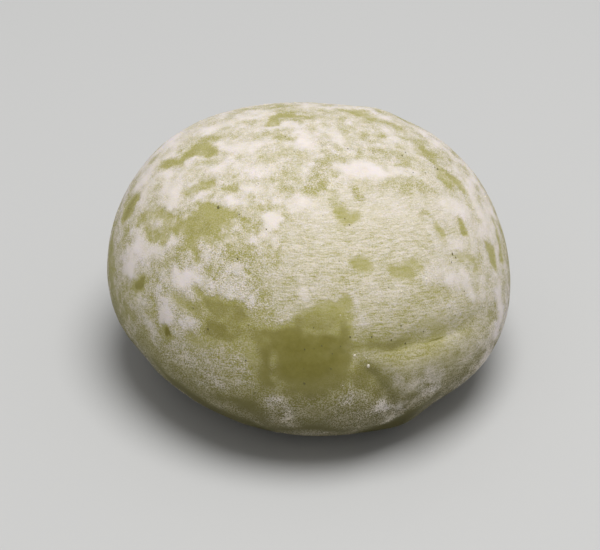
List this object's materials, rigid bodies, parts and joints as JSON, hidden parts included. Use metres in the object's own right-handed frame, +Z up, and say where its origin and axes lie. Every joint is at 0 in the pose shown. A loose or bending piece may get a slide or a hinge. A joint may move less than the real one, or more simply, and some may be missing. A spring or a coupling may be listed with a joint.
{
  "type": "mochi rice cake",
  "caption": "Round uncut mochi rice cake of soft green dough, unevenly dusted with white starch, resting on its flat foot.",
  "frame": {"origin": "on the table, under the middle of the cake's bounding box", "axes": "+Z up, +X to the right and the front facing -Y; the gathered folds lie low at the front right"},
  "size_m": [0.0498, 0.0474, 0.0314],
  "materials": {
    "dusted_dough": "soft matte rice dough, pale green, dusted with white starch"
  },
  "bodies": {
    "root": {"mochi": "dusted_dough"}
  },
  "joints": []
}
